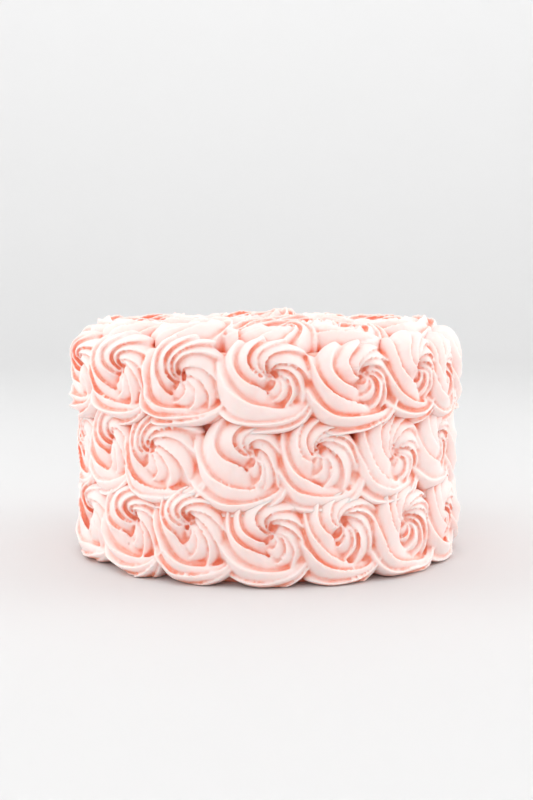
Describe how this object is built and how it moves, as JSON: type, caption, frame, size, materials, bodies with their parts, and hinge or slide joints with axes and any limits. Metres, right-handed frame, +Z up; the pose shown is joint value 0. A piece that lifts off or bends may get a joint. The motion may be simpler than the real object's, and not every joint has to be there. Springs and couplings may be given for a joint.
{
  "type": "rosette cake",
  "caption": "uncut round layer cake covered in piped pale pink buttercream rosettes, in rows round its side and in rings on its top",
  "frame": {"origin": "on the flat underside of the cake, under the middle of its round body", "axes": "+Z is up, through the middle of the cake; -Y is the side that the picture shows; +X is to the right seen from that side"},
  "size_m": [0.2419, 0.2419, 0.1479],
  "materials": {
    "icing": "piped buttercream, soft satin, pale pink",
    "icing_coat": "thin spread coat of the same pale pink buttercream"
  },
  "bodies": {
    "root": {"cake": "icing_coat", "rosettes_bottom_row": "icing", "rosettes_middle_row": "icing", "rosettes_top_row": "icing", "top_rosettes_outer_ring": "icing", "top_rosettes_inner_ring": "icing", "top_rosette_centre": "icing"}
  },
  "joints": []
}
